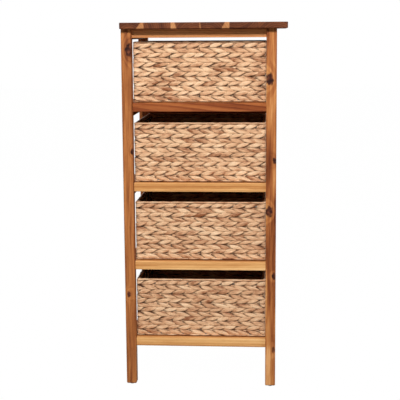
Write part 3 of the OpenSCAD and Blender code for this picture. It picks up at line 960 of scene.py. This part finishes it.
def waterHyacinth():
    made, add = newMaterial("driedWaterHyacinth")
    placed = add("Attribute", attribute_name="strandPlace").outputs["Vector"]
    length, around, strand = add("SeparateXYZ", {0: placed}).outputs
    patchStep = add("Math", {0: length, 1: 1 / (hyacinth["patchLength"] * mm)}, "MULTIPLY")
    patchSpot = add("CombineXYZ", {0: patchStep, 1: around, 2: strand})
    patch = add("TexNoise", {"Vector": patchSpot, "Scale": 1.0, "Detail": 2.0, "Roughness": 0.6})
    fibreAround = add("Math", {0: around, 1: hyacinth["fibresAround"]}, "MULTIPLY")
    fibreAlong = add("Math", {0: length, 1: hyacinth["fibresAlong"]}, "MULTIPLY")
    fibreSpot = add("CombineXYZ", {0: fibreAlong, 1: fibreAround, 2: strand})
    fibre = add("TexNoise", {"Vector": fibreSpot, "Scale": 1.0, "Detail": 3.0, "Roughness": 0.65})
    ownTone = add("TexWhiteNoise", {"W": strand}, noise_dimensions="1D").outputs["Value"]
    dark, light = hyacinth["patchTones"]
    tone = add("MapRange", {"Value": patch, 1: noiseLow, 2: noiseHigh, 3: dark, 4: light})
    for source, start, end, (dark, light) in (
        (ownTone, 0.0, 1.0, hyacinth["strandTones"]),
        (fibre, noiseLow, noiseHigh, hyacinth["fibreTones"]),
    ):
        change = add("MapRange", {"Value": source, 1: start, 2: end, 3: dark, 4: light})
        tone = add("Math", {0: tone, 1: change}, "ADD")
    colour = fillRamp(add("ValToRGB", {0: tone}), hyacinth["stops"])

    # painted shade: deep in the plait, where strands go under each other, and at the strand's edges the
    # colour turns to the deep brown, though not on the side that faces inside
    depth = add("Attribute", attribute_name="strandDepth").outputs["Fac"]
    shallow, deepest = hyacinth["paintedShade"]
    under = add("MapRange", {"Value": depth, 1: shallow, 2: deepest})
    turn = add("Math", {0: around, 1: 2 * math.pi}, "MULTIPLY")
    facing = add("Math", {0: turn}, "COSINE")
    back, front = hyacinth["turnsIn"]
    faceShare = add("MapRange", {"Value": facing, 1: back, 2: front, 3: hyacinth["inside"], 4: 1.0})
    under = add("Math", {0: under, 1: faceShare}, "MULTIPLY")
    edgeWave = add("Math", {0: turn}, "SINE")
    edgeShare = add("Math", {0: edgeWave}, "ABSOLUTE")
    edgeShade = add("MapRange",
                 {"Value": edgeShare, 1: hyacinth["edgeStart"], 2: 1.0, 3: 0.0, 4: hyacinth["edgeDeep"]})
    paintedShade = add("Math", {0: under, 1: edgeShade}, "MAXIMUM")
    shaded = add("Mix", {"Factor": paintedShade, 6: colour, 7: linear(hyacinth["deep"])}, data_type="RGBA")
    crease = add("Bump",
                 {"Height": fibre, "Strength": hyacinth["crease"], "Distance": hyacinth["creaseDepth"] * mm})
    stem = add("BsdfPrincipled", {
        "Base Color": shaded.outputs[2], "Roughness": hyacinth["roughness"],
        "Specular IOR Level": hyacinth["sheen"], "Normal": crease,
    })
    add("OutputMaterial", {"Surface": stem})
    return made


hyacinthStem = waterHyacinth()

# sizes of the baskets, in millimetres; their outline and height come from the solids
basket = {
    "cornerRadius": 2.2,  # of the path that the leaves follow
    "frontInset": 5.0,  # from the faces in front and behind to that path
    "sideInset": 2.4,
    "bulge": 0.8,  # soft sides swell past the solid's, and still clear the legs by 0.2
    "pressed": 0.3,  # room that the strands keep to the box of the solids
    "edgeMiddle": 4.8,  # from the foot to the lowest row's middle line, and from the top to the highest one's
    "leafLength": 43.0,
    "leafHalfWidth": 5.9,
    "leafHalfThickness": 2.6,
    "lift": 2.0,
    "overEdge": 3.4,
    "cornerLift": 3.4,
    "wobble": 1.6,
    "cordTurn": 26.0,
    "cordStrand": 2.3,
    "cordTwist": 1.7,
    "rimCordDrop": 6.6,
    "liningInset": 2.6,
    "liningSideInset": 0.4,
    "liningHalfWidth": 5.6,
    "liningHalfThickness": 1.3,
    "liningTwist": 0.7,
    "baseSideInset": 9.5,
    "baseFrontInset": 10.4,
    "baseLift": 5.5,
    "baseSwell": 1.2,
}

# counts and shares of the weave
weave = {
    "rows": 7,
    "leaves": 42,  # in each half row round the basket, with the tips to the right in front
    "leafPoints": 16,
    "uneven": 0.11,
    "cordPoints": 260,
    "liningTurns": 14.0,
    "liningPoints": 132,
    "liningDepth": -0.8,  # takes it into the deep colour: painted shade on the linings and the rim cord
    "baseRows": 11,
    "baseLeaves": 12,
    "baseTurns": 8.0,
    "basePoints": 72,
    # of a base row's width: radius of the lining's turns, half thickness of its strands, room at their ends
    "baseCorner": 0.24,
    "baseStrand": 0.27,
    "baseEnds": 0.25,
    "seedStep": 7,
}


def makeBasket(k):
    low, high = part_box(f"basket_wall_{k}")
    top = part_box(f"basket_rim_{k}")[1].z
    middle = (low + high) / 2
    size = {name: value * mm for name, value in basket.items()}
    width, depth = high.x - low.x, high.y - low.y
    pathWidth, pathDepth = width - 2 * size["sideInset"], depth - 2 * size["frontInset"]
    cordTurns = round(2 * (pathWidth + pathDepth) / size["cordTurn"])
    rowHeight = (top - low.z - 2 * size["edgeMiddle"]) / (weave["rows"] - 1)
    room = Vector((-size["bulge"], size["pressed"], size["pressed"]))
    common = {
        "Path Width": pathWidth, "Path Depth": pathDepth, "Corner Radius": size["cornerRadius"],
        "Place": (middle.x, middle.y, low.z + size["edgeMiddle"]), "Row Step": (0, 0, rowHeight),
        "Box Low": low + room, "Box High": Vector((high.x, high.y, top)) - room,
        "Seed": weave["seedStep"] * k, "Material": hyacinthStem,
    }
    plait = {
        **common, "Flat": False, "Rim": False, "Rows": weave["rows"], "Half Row": rowHeight / 2,
        "Leaves": weave["leaves"], "Spread": 1.0, "Points": weave["leafPoints"], "Uneven": weave["uneven"],
        "Leaf Length": size["leafLength"], "Half Width": size["leafHalfWidth"],
        "Half Thickness": size["leafHalfThickness"], "Lift": size["lift"], "Over Edge": size["overEdge"],
        "Corner Lift": size["cornerLift"], "Wobble": size["wobble"],
    }
    # flat strands behind the leaves, where the plaits are stitched to each other, painted in the deep colour
    # as shade
    lining = {
        **common, "Path Width": pathWidth - 2 * size["liningSideInset"],
        "Path Depth": pathDepth - 2 * size["liningInset"], "Rows": 2 * weave["rows"] - 1,
        "Row Step": (0, 0, rowHeight / 2), "Turns": weave["liningTurns"], "Points": weave["liningPoints"],
        "Half Width": size["liningHalfWidth"], "Half Thickness": size["liningHalfThickness"],
        "Twist": size["liningTwist"], "Depth Shift": weave["liningDepth"],
    }
    # a round cord in the rim
    cord = {
        **lining, "Rows": 1, "Turns": float(cordTurns), "Points": weave["cordPoints"],
        "Half Width": size["cordStrand"], "Half Thickness": size["cordStrand"], "Twist": size["cordTwist"],
        "Place": (middle.x, middle.y, top - size["rimCordDrop"]),
    }
    # the base: plaits from side to side, and strands under them
    baseWidth, baseDepth = width - 2 * size["baseSideInset"], depth - 2 * size["baseFrontInset"]
    step = baseDepth / weave["baseRows"]
    baseRows = {
        "Rows": weave["baseRows"], "Row Step": (0, step, 0),
        "Place": (middle.x, middle.y - baseDepth / 2 + step / 2, low.z + size["baseLift"]),
    }
    base = {
        **plait, **baseRows, "Flat": True, "Path Width": baseWidth, "Half Row": step / 2,
        "Leaves": weave["baseLeaves"], "Spread": 1.0 + size["leafLength"] / baseWidth,
        "Lift": size["baseSwell"],
    }
    baseLining = {
        **lining, **baseRows, "Path Width": baseWidth - weave["baseEnds"] * step, "Path Depth": step / 2,
        "Corner Radius": weave["baseCorner"] * step,
        "Turns": weave["baseTurns"], "Points": weave["basePoints"],
        "Half Width": size["liningHalfThickness"], "Half Thickness": weave["baseStrand"] * step,
    }
    for part, name, tree, sizes in (
        ("wall", "plaitedWall", plaitTree, plait),
        ("wall", "liningStrands", cordTree, lining),
        ("rim", "plaitedRim", plaitTree, {**plait, "Rim": True}),
        ("rim", "rimCord", cordTree, cord),
        ("base", "plaitedBase", plaitTree, base),
        ("base", "liningBase", cordTree, baseLining),
    ):
        piece = wovenPiece(f"{name}{k}", tree, sizes)
        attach(piece, f"basket_{k}")
        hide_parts(f"basket_{part}_{k}")


for k in shelves:
    makeBasket(k)
print("baskets plaited")
